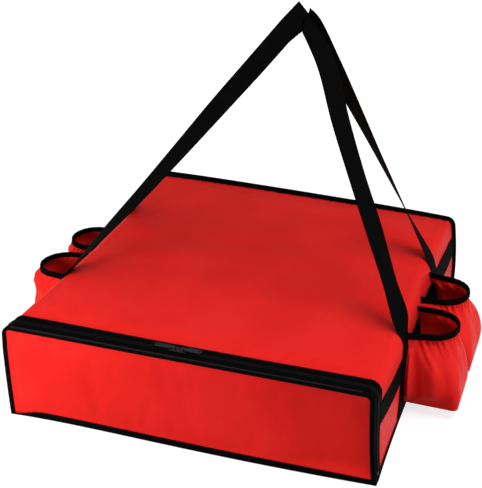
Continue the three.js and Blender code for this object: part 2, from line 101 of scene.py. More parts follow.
# The bag's soft shape
# Moves of the box's control points, in millimetres: 5 places across, 4 deep, 3 high
SOFT_MOVES = np.array([
    [[4, -12, 0, -1, -3, 14, 4, -2, -1], [-8, 5, 0, 1, 4, 16, 39, 20, 19],
     [-14, 3, 0, -9, -2, 8, 6, -11, -8], [-17, -2, 0, -12, -2, 6, 10, 4, 12]],
    [[4, 1, 0, 1, 7, 3, -4, 2, 3], [-3, 2, 0, -2, 2, 4, -6, 2, 5],
     [-5, 1, 0, -5, 0, 3, -8, -2, 1], [-7, -1, 0, -6, 0, 4, -4, 3, 12]],
    [[-16, -11, 0, -6, 4, -1, -5, -2, -3], [-2, -1, 0, -2, 1, 0, -8, -3, -5],
     [0, 0, 0, -2, 0, 0, -2, -1, -2], [-2, 0, 0, 0, 0, 2, 2, 1, 3]],
    [[17, -3, 0, 24, 24, 10, 7, 3, 2], [2, -3, 0, 3, -2, -8, 2, -9, -18],
     [0, 0, 0, 3, -3, -7, 0, -2, -8], [0, 1, 0, 4, 1, -2, 10, 2, 0]],
    [[3, 6, 0, -7, 15, -17, -1, 1, 1], [-6, -16, 0, -7, -23, -39, 17, 0, 0],
     [1, 3, 0, 29, -2, -21, -34, 5, 5], [1, 4, 0, 7, 2, -8, -2, -3, -9]],
], float).reshape(5, 4, 3, 3)


# How far round the zipper's chain the bag stays straight, and from which height on
CHAIN_SPREAD, STRAIGHT_FROM, STRAIGHT_TO = 22, 110, 160


def control_weights(degree, t):
    t = np.clip(t, -0.03, 1.03)
    return np.stack([math.comb(degree, i) * t**i * (1 - t) ** (degree - i) for i in range(degree + 1)], -1)


def softened(points):
    """Carries points of the plain box to the soft bag. The zipper's straight run stays straight."""
    points = np.asarray(points, float)
    flat = points.reshape(-1, 3)
    across = control_weights(4, (flat[:, 0] + HALF) / (2 * HALF))
    deep = control_weights(3, (flat[:, 1] + HALF) / (2 * HALF))
    high = control_weights(2, flat[:, 2] / HEIGHT)
    move = np.einsum("ni,nj,nk,ijkc->nc", across, deep, high, SOFT_MOVES)
    near_chain = np.exp(-((flat[:, 1] - CHAIN_Y) / CHAIN_SPREAD) ** 2)
    straight = near_chain * smooth(STRAIGHT_FROM, STRAIGHT_TO, flat[:, 2])
    move[:, 1:] *= (1 - straight)[:, None]
    return (flat + move).reshape(points.shape)


# Small helpers
def waves(position, length, seed, count=7):
    """A smooth irregular wave from -1 to 1 with about that wavelength."""
    rng = np.random.default_rng(seed)
    total = np.zeros_like(np.asarray(position, float))
    for share, phase in zip(rng.uniform(0.6, 1.7, count), rng.uniform(0, 2 * math.pi, count)):
        total = total + np.sin(2 * math.pi * share * position / length + phase)
    return total / math.sqrt(count)


def stack(x, y, z):
    return np.stack(np.broadcast_arrays(np.asarray(x, float), y, z), -1)


# Places on the bag
class Relief:
    """How far a wall stands proud of the plain box, on an even grid of two directions."""

    def __init__(self, first, second, values):
        self.first, self.second, self.values = first, second, values

    def __call__(self, a, b):
        a, b = np.broadcast_arrays(np.asarray(a, float), np.asarray(b, float))
        i = np.clip((a - self.first[0]) / (self.first[1] - self.first[0]), 0, len(self.first) - 1.001)
        j = np.clip((b - self.second[0]) / (self.second[1] - self.second[0]), 0, len(self.second) - 1.001)
        i0, j0 = i.astype(int), j.astype(int)
        fi, fj = i - i0, j - j0
        v = self.values
        low = v[i0, j0] * (1 - fj) + v[i0, j0 + 1] * fj
        high = v[i0 + 1, j0] * (1 - fj) + v[i0 + 1, j0 + 1] * fj
        return low * (1 - fi) + high * fi


PUFF_LIMIT = 5.0
PAD_HALF = 3.0
PAD_FRAMES = 20
PAD_CLOTH = {
    "quality": 5, "mass": 0.25, "tension_stiffness": 12, "compression_stiffness": 12,
    "shear_stiffness": 4, "bending_stiffness": 0.8, "vertex_group_mass": "sewn",
    "shrink_min": -0.006, "use_pressure": True, "uniform_pressure_force": 4,
}


def puffed(low, high, step, seed):
    """Blows up a padded wall, sewn down all round, and gives how far its outer face comes out.

    The wall is a flat pillow between the two corners, low and high; the result is in millimetres."""
    first = np.linspace(low[0], high[0], int(round((high[0] - low[0]) / step)) + 1)
    second = np.linspace(low[1], high[1], int(round((high[1] - low[1]) / step)) + 1)
    rows, cols = len(first), len(second)
    a, b = np.meshgrid(first, second, indexing="ij")
    uneven = 0.35 * waves(a + 0.6 * b, 120, seed) + 0.25 * waves(b - 0.5 * a, 80, seed + 1)
    border = np.minimum(np.minimum(a - low[0], high[0] - a), np.minimum(b - low[1], high[1] - b))
    still = PAD_HALF * smooth(-step, 4 * step, border)
    half = still + uneven * (border > 0)
    flat = np.stack([a, b], -1)
    pad = shell("pad_form", np.dstack([flat, half]), np.dstack([flat, -half]), flat, FORM)
    pins = pad.vertex_groups.new(name="sewn")
    edge = np.flatnonzero(border.ravel() < step * 0.5)
    pins.add([int(k) for k in edge] + [int(k) + rows * cols for k in edge], 1.0, "REPLACE")
    cloth = pad.modifiers.new("cloth", "CLOTH")
    for key, value in PAD_CLOTH.items():
        setattr(cloth.settings, key, value)
    cloth.settings.effector_weights.gravity = 0
    cloth.collision_settings.use_collision = False
    scene = bpy.context.scene
    cloth.point_cache.frame_start, cloth.point_cache.frame_end = 1, PAD_FRAMES
    for frame_number in range(1, PAD_FRAMES + 1):
        scene.frame_set(frame_number)
    blown = pad.evaluated_get(bpy.context.evaluated_depsgraph_get()).to_mesh()
    points = np.zeros(len(blown.vertices) * 3)
    blown.vertices.foreach_get("co", points)
    out = points.reshape(-1, 3)[: rows * cols, 2].reshape(rows, cols) / MM - still
    mesh = pad.data
    bpy.data.objects.remove(pad)
    bpy.data.meshes.remove(mesh)
    scene.frame_set(1)
    out = PUFF_LIMIT * np.tanh(out / PUFF_LIMIT) * smooth(0, 2 * step, border)
    return Relief(first, second, out)


# Soft valleys drawn in the top by the pull of the straps: foot, far end, depth and half width
VALLEYS = [
    ((299, -130), (262, -68), 4.6, 5), ((288, -98), (120, -4), 5.6, 15),
    ((290, 134), (215, 166), 5.0, 11), ((284, 136), (262, 120), 2.6, 9),
    ((-292, -84), (-236, -62), 3.6, 9), ((-268, 20), (-196, 34), 1.6, 9),
    ((-150, -150), (40, -215), 1.5, 30), ((150, 60), (-60, 110), 1.6, 36),
    ((-100, 272), (30, 268), 2.6, 14),
]


def valley(x, y, start, end, depth, wide):
    """A groove, deepest at its start and fading to nothing at its end."""
    (x0, y0), (x1, y1) = start, end
    length = math.hypot(x1 - x0, y1 - y0)
    run = ((x - x0) * (x1 - x0) + (y - y0) * (y1 - y0)) / length**2
    aside = ((y - y0) * (x1 - x0) - (x - x0) * (y1 - y0)) / length
    fade = (1 - np.clip(run, 0, 1)) ** 1.2 * np.exp(-(np.minimum(run, 0) * length / wide) ** 2)
    return -depth * fade * np.exp(-(aside / (wide * (0.7 + 0.7 * np.clip(run, 0, 1)))) ** 2)


# How far sewing puckers reach from a seam: on the top and sides, on the flap and back
SLEEVE_PUCKER, PANEL_PUCKER = 16, 12
# The top's fuller left edge: how far it stands out, its place along the arch and its spread
FULL_OUT, FULL_AT, FULL_SPREAD = 4.0, SIDE_TOP - 6, 38
# The sunken right end of the flap, between its two ends and short of the binding
SUNK_DEEP, SUNK_FROM, SUNK_TO = 9.0, 140, 294


def sleeve_relief_at(s, y):
    """Crowning, valleys and sewing puckers of the top and sides."""
    in_front = y - SLEEVE_FRONT - SLEEVE_BINDING
    near_front = np.exp(-in_front / SLEEVE_PUCKER)
    near_back = np.exp(-(SLEEVE_BACK - y) / SLEEVE_PUCKER)
    puckers = 0.5 * waves(s, 26, 3) * near_front + 0.5 * waves(s, 24, 4) * near_back
    edge = smooth(0, 40, in_front) * smooth(0, 40, SLEEVE_BACK - 10 - y)
    broad = 0.8 * waves(s + 0.4 * y, 190, 5) + 0.6 * waves(y - 0.3 * s, 150, 6)
    pulled = sum(valley(s, y, *row) for row in VALLEYS)
    full = FULL_OUT * np.exp(-((s + FULL_AT) / FULL_SPREAD) ** 2)
    full = full * smooth(-70, 40, y) * (1 - smooth(190, 290, y))
    top = TOP_PUFF(s, y) * (np.abs(s) < FLAT)
    relief = (broad + 1.0 + pulled) * edge + full + top + puckers * smooth(0, 6, y - SLEEVE_FRONT - 10)
    return relief * smooth(6, 62, along_side(FOOT) - np.abs(s))


def panel_relief_at(x, z, seed):
    """Crowning and sewing puckers of the flap and the back panel."""
    low = z - RIM_FOOT
    rim = np.minimum(HEIGHT - z, HALF - np.abs(x)) - 10
    near_seam = sum(np.exp(-np.maximum(away, 0) / PANEL_PUCKER) for away in (rim, low))
    puckers = 0.45 * waves(x, 24, seed) * near_seam
    edge = smooth(0, 30, rim) * smooth(0, 30, low)
    broad = 1.2 * waves(x + 0.5 * z, 170, seed + 1) + 1.5
    return (broad * edge + puckers) * smooth(-2, 6, rim) * smooth(-2, 6, low)


def on_sleeve(s, y, n):
    x, z, nx, nz = arch(s, y)
    d = n + sleeve_relief_at(s, y)
    return softened(stack(x + nx * d, y, z + nz * d))


def on_flap(x, z, n):
    high, low = smooth(4, 20, HEIGHT - z), smooth(0, 14, z - RIM_FOOT)
    sunk = SUNK_DEEP * smooth(SUNK_FROM, SUNK_TO, x) * (1 - smooth(299, 303, x)) * high * low
    relief = panel_relief_at(x, z, 21) + FLAP_PUFF(x, z)
    return softened(stack(x, -(PANEL_FACE + n + relief - sunk), z))


def on_back(x, z, n):
    return softened(stack(x, PANEL_FACE + n + panel_relief_at(x, z, 31) + BACK_PUFF(x, z), z))


def on_box(x, y, z):
    return softened(stack(x, y, z))


# Meshes
def mesh_object(name, points, faces, material, uvs=None):
    """A smooth mesh object from millimetre points, with a UV in metres for each point."""
    mesh = bpy.data.meshes.new(name)
    mesh.from_pydata((np.asarray(points, float) * MM).tolist(), [], faces)
    mesh.validate()
    mesh.polygons.foreach_set("use_smooth", [True] * len(mesh.polygons))
    if uvs is not None:
        layer = mesh.uv_layers.new(name="cloth")
        corners = np.zeros(len(mesh.loops), np.int32)
        mesh.loops.foreach_get("vertex_index", corners)
        layer.data.foreach_set("uv", (np.asarray(uvs, float)[corners] * MM).ravel())
    obj = bpy.data.objects.new(name, mesh)
    bpy.context.scene.collection.objects.link(obj)
    obj.data.materials.append(material)
    return obj


def outward(obj):
    """Turns a closed mesh's faces outward."""
    mesh = obj.data
    mesh.calc_loop_triangles()
    corners = np.zeros(len(mesh.loop_triangles) * 3, np.int32)
    mesh.loop_triangles.foreach_get("vertices", corners)
    points = np.zeros(len(mesh.vertices) * 3)
    mesh.vertices.foreach_get("co", points)
    a, b, c = points.reshape(-1, 3)[corners.reshape(-1, 3)].transpose(1, 0, 2)
    volume = np.einsum("ij,ij->", a, np.cross(b, c))
    if volume < 0:
        mesh.flip_normals()
    return obj


def shell(name, outer, inner, flat, material):
    """Two faces of a sheet, each a grid of points, closed round the edges. flat is the grid of UVs."""
    rows, cols = outer.shape[:2]
    index = np.arange(rows * cols).reshape(rows, cols)
    under = index + rows * cols
    faces = []
    for i in range(rows - 1):
        for j in range(cols - 1):
            faces.append((index[i, j], index[i + 1, j], index[i + 1, j + 1], index[i, j + 1]))
            faces.append((under[i, j], under[i, j + 1], under[i + 1, j + 1], under[i + 1, j]))
    border = ([(i, 0) for i in range(rows)] + [(rows - 1, j) for j in range(1, cols)]
              + [(i, cols - 1) for i in range(rows - 2, -1, -1)]
              + [(0, j) for j in range(cols - 2, 0, -1)])
    for here, there in zip(border, border[1:] + border[:1]):
        faces.append((index[here], under[here], under[there], index[there]))
    points = np.concatenate([outer.reshape(-1, 3), inner.reshape(-1, 3)])
    uvs = np.concatenate([flat.reshape(-1, 2), flat.reshape(-1, 2)])
    faces = [tuple(int(k) for k in face) for face in faces]
    return outward(mesh_object(name, points, faces, material, uvs))


def loft(name, rings, along, across, material):
    """Skins a row of closed rings. along and across give each point's UV."""
    rings = np.asarray(rings, float)
    count, size = rings.shape[:2]
    faces = []
    for row in range(0, (count - 1) * size, size):
        for k in range(size):
            after = (k + 1) % size
            faces.append((row + k, row + after, row + size + after, row + size + k))
    faces.append(tuple(range(size - 1, -1, -1)))
    faces.append(tuple((count - 1) * size + k for k in range(size)))
    along, across = np.asarray(along, float)[:, None], np.asarray(across, float)[None, :]
    uvs = np.stack(np.broadcast_arrays(along, across), -1)
    return outward(mesh_object(name, rings.reshape(-1, 3), faces, material, uvs.reshape(-1, 2)))


def tape_section(start, end, low, high, steps=6, round_share=0.35):
    """The outline of a flat tape, as (across, depth) pairs, with soft edges."""
    thick = high - low
    soft = thick * round_share
    across = np.linspace(start + soft, end - soft, steps + 1)
    top = [(a, high) for a in across]
    bottom = [(a, low) for a in across[::-1]]
    return [*top, (end, high - soft), (end, low + soft),
            *bottom, (start, low + soft), (start, high - soft)]


def run_along(points):
    """How far along a line each of its points lies."""
    steps = np.linalg.norm(np.diff(np.array(points, float), axis=0), axis=1)
    return np.concatenate([[0], np.cumsum(steps)])


def strip(name, place, along, section, material):
    """A tape with an outline of (across, depth) pairs, carried by place(along, across, depth)."""
    section = np.array(section, float)
    rings = place(np.asarray(along)[:, None], section[None, :, 0], section[None, :, 1])
    return loft(name, rings, along, run_along(section), material)


# Materials
def new_material(name):
    material = bpy.data.materials.new(name)
    material.use_nodes = True
    material.node_tree.nodes.clear()
    return material, material.node_tree


def node(tree, kind, inputs, **settings):
    """A new node with settings, and inputs that are each linked to a socket or set to a value."""
    made = tree.nodes.new(kind)
    for key, value in settings.items():
        setattr(made, key, value)
    for key, value in inputs.items():
        if isinstance(value, bpy.types.NodeSocket):
            tree.links.new(value, made.inputs[key])
        else:
            made.inputs[key].default_value = value
    return made


def surface(tree, inputs):
    shader = node(tree, "ShaderNodeBsdfPrincipled", inputs)
    node(tree, "ShaderNodeOutputMaterial", {"Surface": shader.outputs["BSDF"]})


def coordinate(tree, kind):
    return node(tree, "ShaderNodeTexCoord", {}).outputs[kind]


def maths(tree, operation, a, b=0.0):
    return node(tree, "ShaderNodeMath", {0: a, 1: b}, operation=operation).outputs[0]


def ramp(tree, value, low, high, to_low=0.0, to_high=1.0):
    return node(tree, "ShaderNodeMapRange", {"Value": value, "From Min": low, "From Max": high,
                                             "To Min": to_low, "To Max": to_high}).outputs["Result"]


def woven(tree, warp, weft, twill=0.0):
    """Heights of a weave from 0 to 1: two crossed sets of round threads, by the cloth's own UV."""
    split = node(tree, "ShaderNodeSeparateXYZ", {0: coordinate(tree, "UV")})
    u = maths(tree, "MULTIPLY", split.outputs[0], 2 * math.pi / (warp * MM))
    v = maths(tree, "MULTIPLY", split.outputs[1], 2 * math.pi / (weft * MM))
    over = maths(tree, "SINE", maths(tree, "ADD", u, maths(tree, "MULTIPLY", v, twill)))
    return ramp(tree, maths(tree, "MULTIPLY", over, maths(tree, "SINE", v)), -1, 1)


def clouds(tree, scale, detail=3.0):
    inputs = {"Vector": coordinate(tree, "Object"), "Scale": scale, "Detail": detail, "Roughness": 0.55}
    return node(tree, "ShaderNodeTexNoise", inputs).outputs["Fac"]


def cells(tree, scale, feature="F1"):
    inputs = {"Vector": coordinate(tree, "Object"), "Scale": scale}
    return node(tree, "ShaderNodeTexVoronoi", inputs, feature=feature).outputs["Distance"]


def blended(tree, share, first, second):
    mix = node(tree, "ShaderNodeMix", {"Factor": share}, data_type="RGBA")
    mix.inputs["A"].default_value = (*first, 1)
    mix.inputs["B"].default_value = (*second, 1)
    return mix.outputs["Result"]


def bumped(tree, layers, normal=None):
    """Stacks bumps, each (height, strength, distance in metres)."""
    for height, strength, distance in layers:
        inputs = {"Height": height, "Strength": strength, "Distance": distance}
        if normal is not None:
            inputs["Normal"] = normal
        normal = node(tree, "ShaderNodeBump", inputs).outputs["Normal"]
    return normal


def coated_cloth(name, light, dark):
    material, tree = new_material(name)
    weave, broad, fine = woven(tree, 0.9, 0.9), clouds(tree, 9), clouds(tree, 70, 4)
    surface(tree, {
        "Base Color": blended(tree, ramp(tree, broad, 0.35, 0.65), dark, light),
        "Roughness": ramp(tree, fine, 0.3, 0.7, 0.42, 0.52),
        "Specular IOR Level": 0.03,
        "Sheen Weight": 0.03, "Sheen Roughness": 0.5, "Sheen Tint": (1.0, 0.3, 0.27, 1),
        "Normal": bumped(tree, [(clouds(tree, 22, 2), 0.25, 0.004), (fine, 0.12, 0.001),
                                (weave, 0.35, 0.00012)])})
    return material


def woven_black(name, colour, lighter, pitch, twill, roughness, depth):
    material, tree = new_material(name)
    weave, worn = woven(tree, pitch, pitch * 0.8, twill), clouds(tree, 60, 4)
    share = maths(tree, "MULTIPLY", weave, ramp(tree, worn, 0.3, 0.7, 0.6, 1.0))
    surface(tree, {
        "Base Color": blended(tree, share, colour, lighter),
        "Roughness": roughness, "Specular IOR Level": 0.01,
        "Normal": bumped(tree, [(worn, 0.15, 0.001), (weave, 0.7, depth)])})
    return material


def foam_sheet(name):
    material, tree = new_material(name)
    surface(tree, {
        "Base Color": blended(tree, clouds(tree, 30), (0.62, 0.62, 0.59), (0.76, 0.76, 0.73)),
        "Roughness": 0.9,
        "Normal": bumped(tree, [(cells(tree, 900), 0.5, 0.0004)])})
    return material


def foil(name):
    material, tree = new_material(name)
    creases, fine = cells(tree, 38, "DISTANCE_TO_EDGE"), clouds(tree, 160)
    surface(tree, {
        "Base Color": blended(tree, clouds(tree, 14), (0.56, 0.57, 0.59), (0.72, 0.73, 0.75)),
        "Roughness": ramp(tree, fine, 0.3, 0.7, 0.26, 0.4), "Metallic": 0.85,
        "Normal": bumped(tree, [(clouds(tree, 18), 0.5, 0.006), (creases, 0.35, 0.002),
                                (fine, 0.2, 0.0006)])})
    return material


def nylon(name):
    material, tree = new_material(name)
    surface(tree, {
        "Base Color": blended(tree, clouds(tree, 200), (0.003, 0.0034, 0.003), (0.006, 0.0065, 0.006)),
        "Roughness": 0.5, "Specular IOR Level": 0.12,
        "Normal": bumped(tree, [(clouds(tree, 900, 2), 0.2, 0.0002)])})
    return material


def painted_zinc(name):
    material, tree = new_material(name)
    worn = clouds(tree, 350, 4)
    edge = node(tree, "ShaderNodeBevel", {"Radius": 0.0006}, samples=4).outputs["Normal"]
    share = ramp(tree, worn, 0.4, 0.75)
    surface(tree, {
        "Base Color": blended(tree, share, (0.008, 0.0085, 0.0085), (0.02, 0.021, 0.021)),
        "Roughness": ramp(tree, worn, 0.3, 0.7, 0.25, 0.42), "Metallic": 0.4,
        "Normal": bumped(tree, [(worn, 0.15, 0.0003)], edge)})
    return material


FORM = new_material("pad_form")[0]
TOP_PUFF = puffed((-FLAT, SLEEVE_FRONT + SLEEVE_BINDING), (FLAT, SLEEVE_BACK - 6), 11, 61)
PANEL_CORNERS = (-HALF + 8, RIM_FOOT), (HALF - 8, HEIGHT - 8)
FLAP_PUFF, BACK_PUFF = (puffed(*PANEL_CORNERS, 9, seed) for seed in (71, 81))
bpy.data.materials.remove(FORM)

RED = coated_cloth("coated_red_cloth", (0.66, 0.0155, 0.0125), (0.61, 0.0115, 0.0095))
FOAM = foam_sheet("foam_sheet")
LINING = foil("foil_lining")
EDGING = woven_black("binding_tape", (0.001, 0.0011, 0.001), (0.0024, 0.0026, 0.0025),
                     pitch=1.0, twill=0.0, roughness=0.7, depth=0.0002)
WEBBING = woven_black("woven_webbing", (0.0008, 0.0009, 0.0008), (0.0032, 0.0034, 0.0031),
                      pitch=2.6, twill=0.5, roughness=0.75, depth=0.0005)
TAPE = woven_black("zipper_tape", (0.0014, 0.0016, 0.0015), (0.0036, 0.004, 0.0037),
                   pitch=0.8, twill=0.5, roughness=0.75, depth=0.0001)
THREAD = woven_black("sewing_thread", (0.002, 0.0021, 0.002), (0.008, 0.0083, 0.008),
                     pitch=0.7, twill=1.0, roughness=0.6, depth=0.0001)
# Painted highlight: a black tape made paler than the binding's own, standing in for the light that the
# binding's top front fold catches
PAINTED_FOLD_HIGHLIGHT = woven_black("binding_fold_painted_highlight", (0.0075, 0.007, 0.007), (0.017, 0.0155, 0.0155),
                          pitch=1.0, twill=0.0, roughness=0.7, depth=0.0002)
NYLON = nylon("zipper_nylon")
ZINC = painted_zinc("painted_zinc")


def dress(obj, body, slot, *nodes):
    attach(obj, body)
    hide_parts(*nodes)
    return obj


# Walls, each of cloth, padding and foil: piece, solid, depth of both faces, material and slot
PADDING_FACE = CLOTH + LAYER_GAP
FOIL_FACE = PADDING_FACE + PADDING + LAYER_GAP
WALL_LAYERS = [
    ("cover", "outer", 0.0, CLOTH, RED, "shell_cloth"),
    ("padding", "foam", PADDING_FACE, PADDING_FACE + PADDING, FOAM, "foam"),
    ("foil", "lining", FOIL_FACE, FOIL_FACE + FOIL, LINING, "foil_lining"),
]
# Size of the mesh squares on the top and walls, and on the bottom
WALL_STEP, BOTTOM_STEP = 7, 12


def add_wall(name, body, place_grids):
    for piece, solid, low, high, material, slot in WALL_LAYERS:
        obj = shell(f"{name}_{piece}", *place_grids(low, high), material)
        dress(obj, body, slot, f"{name}_{solid}")


def even(start, end, step):
    return np.linspace(start, end, max(2, int(round(abs(end - start) / step)) + 1))


def arch_run(foot, step=6.0):
    """Stations over the whole arch, finer round the folds."""
    low = along_side(foot)
    right = np.concatenate([even(0, FLAT, step)[:-1], np.linspace(FLAT, SIDE_TOP, 13)[:-1],
                            even(SIDE_TOP, low, step)])
    return np.concatenate([-right[:0:-1], right])


def grids(place, first, second, low, high):
    a, b = first[:, None], second[None, :]
    flat = np.stack(np.broadcast_arrays(a, b), -1)
    return place(a, b, -low), place(a, b, -high), flat


def add_sleeve():
    s, y = arch_run(FOOT, WALL_STEP), even(SLEEVE_FRONT, SLEEVE_BACK, WALL_STEP)
    add_wall("sleeve", "bag", lambda low, high: grids(on_sleeve, s, y, low, high))


def panel_grid(place, y, low, high):
    s = arch_run(FOOT, WALL_STEP)
    s = s[np.abs(s) <= SIDE_TOP]
    x, top, _, _ = arch(s, y)
    share = np.linspace(0, 1, 23)
    z = FOOT + share[None, :] * (top[:, None] - FOOT)
    x = np.broadcast_to(x[:, None], z.shape)
    return place(x, z, -low), place(x, z, -high), np.stack([x, z], -1)


def add_panels():
    add_wall("flap", "flap", lambda low, high: panel_grid(on_flap, -HALF, low, high))
    add_wall("back", "bag", lambda low, high: panel_grid(on_back, HALF, low, high))


def add_bottom():
    reach = HALF - 8.4
    x, y = even(-reach, reach, BOTTOM_STEP), even(-PANEL_INSIDE + 2, SLEEVE_BACK, BOTTOM_STEP)

    def place(a, b, n):
        return on_box(a, b, -n)

    add_wall("bottom", "bag", lambda low, high: grids(place, x, y, low, high))


# Bindings
def hooked(points, thickness):
    """Outline of a folded tape: its middle line, given as (across, depth), with a thickness."""
    line = np.array(points, float)
    fine = []
    for a, b in zip(line[:-1], line[1:]):
        steps = max(2, int(np.linalg.norm(b - a) / 2.5) + 1)
        fine += [a + (b - a) * t for t in np.linspace(0, 1, steps, endpoint=False)]
    fine.append(line[-1])
    fine = np.array(fine)
    way = np.gradient(fine, axis=0)
    way /= np.linalg.norm(way, axis=1)[:, None]
    normal = np.stack([-way[:, 1], way[:, 0]], 1) * thickness / 2
    return np.concatenate([fine + normal, (fine - normal)[::-1]])


def rounded_path(corners, radius, steps=4):
    """A line through corners with each inner corner rounded."""
    corners = [np.array(c, float) for c in corners]
    line = [corners[0]]
    for before, corner, after in zip(corners, corners[1:], corners[2:]):
        a, b = before - corner, after - corner
        a, b = a / np.linalg.norm(a), b / np.linalg.norm(b)
        start, end = corner + a * radius, corner + b * radius
        for t in np.linspace(0, 1, steps + 1):
            line.append((1 - t) ** 2 * start + 2 * t * (1 - t) * corner + t * t * end)
    line.append(corners[-1])
    return line


def on_rim(s, y, n):
    """Places on the arch without the sleeve's crowning, for what is sewn to the rims."""
    x, z, nx, nz = arch(s, y)
    return softened(stack(x + nx * n, y, z + nz * n))


def whole_arch():
    """Stations over the whole arch for what runs on down to the bottom edges."""
    ends = [along_side(7), along_side(2.8)]
    return np.concatenate([[-ends[1], -ends[0]], arch_run(RIM_FOOT, 5), ends])


# Folded tapes: how deep their legs reach, how high they stand and where their inner legs run; then
# the facings' thickness and leg
RIM_LEG, FLAP_LEG, RIM_CREST = -6.5, -7.0, 0.8
FLAP_INSIDE, BACK_INSIDE = PANEL_INSIDE - 1.4, 294.6
FACING, FACING_LEG = 0.8, 10


def add_binding(name, body, place, run, section, *nodes, material=EDGING):
    dress(strip(name, place, run, section, material), body, "binding", *nodes)


def add_rim_bindings():
    face = HALF - BINDING / 2
    whole = whole_arch()

    def tight_inside(a, b, n):
        corner = np.exp(-((np.abs(a) - FLAT - ARC / 2) / 8) ** 2)
        return on_rim(a, b, n * (1 - 0.36 * corner * smooth(-1, -6, n)))

    line = [(-face, FLAP_LEG), (-face, RIM_CREST), (-FLAP_INSIDE, RIM_CREST), (-FLAP_INSIDE, RIM_LEG)]
    section = hooked(rounded_path(line, 1.2), BINDING)
    add_binding("flap_edge_binding", "flap", tight_inside, whole, section, "flap_rim_binding")
    # A thin ridge over the fold of the flap's binding. It catches the lamps' light, and its paler tape
    # paints in more highlight along the fold
    edge, crest = HALF + 0.2, RIM_CREST + BINDING / 2 + 0.2
    section = hooked(rounded_path([(-edge, -0.3), (-edge, crest), (1.9 - edge, crest)], 1.2), 0.4)
    top = whole[np.abs(whole) <= FLAT]
    add_binding("flap_edge_fold", "flap", tight_inside, top, section, material=PAINTED_FOLD_HIGHLIGHT)
    line = [(face, RIM_LEG), (face + 0.6, 5.4), (face - 2.2, 5.4), (face - 2.6, RIM_CREST),
            (BACK_INSIDE, RIM_CREST)]
    section = hooked(rounded_path(line, 1.0), BINDING)
    add_binding("back_edge_binding", "bag", on_rim, whole, section, "back_rim_binding")
    section = tape_section(SLEEVE_FRONT, SLEEVE_FRONT + SLEEVE_BINDING, 1.1, 2.1)
    add_binding("sleeve_edge_binding", "bag", on_sleeve, whole, section, "sleeve_rim_binding")
    rim, under = SLEEVE_FRONT - 0.7, 8.7
    line = [(rim + FACING_LEG, -under), (rim, -under), (rim, 0.0)]
    section = hooked(rounded_path(line, 1.0), FACING)
    add_binding("sleeve_edge_facing", "bag", on_sleeve, whole, section)
    rim = 1.4 - PANEL_INSIDE
    line = [(rim + FACING_LEG, under), (rim, under), (rim, 0.5)]
    section = hooked(rounded_path(line, 1.0), FACING)
    add_binding("bottom_edge_facing", "bag", on_box, even(8.6 - HALF, HALF - 8.6, 6), section)


def add_foot_bindings():
    top, low = 11.4, 0.9
    face = HALF - BINDING / 2
    x = even(-HALF - 1.3, HALF + 1.3, 6)

    def in_front(a, b, n):
        """The hinge binding lies pressed thin at its left end."""
        grown = smooth(-HALF - 4, -HALF + 62, a)
        return on_box(a, -b, low + (n - low) * (0.06 + 0.94 * grown))

    section = hooked(rounded_path([(face, top), (face, low), (HALF - 10, low)], 1.3), BINDING)
    add_binding("hinge_binding", "flap", in_front, x, section, "flap_hinge_binding")
    add_binding("back_foot_binding", "bag", on_box, x, section, "back_bottom_binding")
    y = even(-PANEL_INSIDE + 1.5, SLEEVE_BACK, 6)
    line = [(HALF + 1.2, 9.4), (HALF + 2.4, 4.6), (HALF + 1.8, low), (HALF - 7, low)]
    section = hooked(rounded_path(line, 1.0), BINDING)
    for name, side in SIDES:
        def on_foot(a, b, n, side=side):
            return on_box(side * b, a, n)

        add_binding(f"{name}_foot_binding", "bag", on_foot, y, section, f"{name}_bottom_binding")


# Zipper
# A coil's pitch, the height of its middle over the cloth, its half height and the wire's radius
COIL_PITCH, COIL_MIDDLE, COIL_RISE, COIL_WIRE = 2.5, 2.2, 1.0, 0.42
TURN_STEPS, WIRE_CORNERS = 10, 6
# Front to back: where the tapes begin and end, and where the coils' heads and backs lie
FLAP_TAPE, SLEEVE_TAPE = (-294.3, -290.3), (-288.9, -272.5)
FLAP_COIL, SLEEVE_COIL = (-289.95, -293.3), (-289.25, -285.9)
TAPE_FACES = (0.3, 0.9)


def coil(name, heads, backs, phase):
    """One nylon coil: a flattened helix round its tape's edge."""
    end = along_side(18)
    run = even(-end, end, COIL_PITCH)
    t = np.arange((len(run) - 1) * TURN_STEPS + 1) / TURN_STEPS
    s = np.clip(run[0] + (t + phase) * COIL_PITCH, run[0], run[-1])
    angle = 2 * math.pi * t
    half = (backs - heads) / 2
    wide, high = half - COIL_WIRE * np.sign(half), COIL_RISE - COIL_WIRE
    y = (heads + backs) / 2 - wide * np.cos(angle)
    n = COIL_MIDDLE + high * np.sin(angle)
    way_y, way_n = (half - COIL_WIRE) * np.sin(angle), high * np.cos(angle)
    size = np.hypot(way_y, way_n)
    around = np.arange(WIRE_CORNERS) / WIRE_CORNERS * 2 * math.pi
    aside, out = COIL_WIRE * np.sin(around)[None, :], COIL_WIRE * np.cos(around)[None, :]
    ring_y = y[:, None] + (way_n / size)[:, None] * out
    ring_n = n[:, None] - (way_y / size)[:, None] * out
    rings = on_rim(s[:, None] + aside, ring_y, ring_n)
    return loft(name, rings, s, COIL_WIRE * around, NYLON)


def add_zipper():
    s = whole_arch()
    for name, body, place, tape, steps in (("flap", "flap", on_rim, FLAP_TAPE, 3),
                                           ("sleeve", "bag", on_sleeve, SLEEVE_TAPE, 5)):
        obj = strip(f"{name}_zipper_tape", place, s, tape_section(*tape, *TAPE_FACES, steps), TAPE)
        dress(obj, body, "zip_tape", f"{name}_zip_tape")
    dress(coil("flap_zipper_coil", *FLAP_COIL, 0.0), "flap", "zip_coil", "flap_zip_coil")
    dress(coil("sleeve_zipper_coil", *SLEEVE_COIL, 0.5), "bag", "zip_coil", "sleeve_zip_coil")


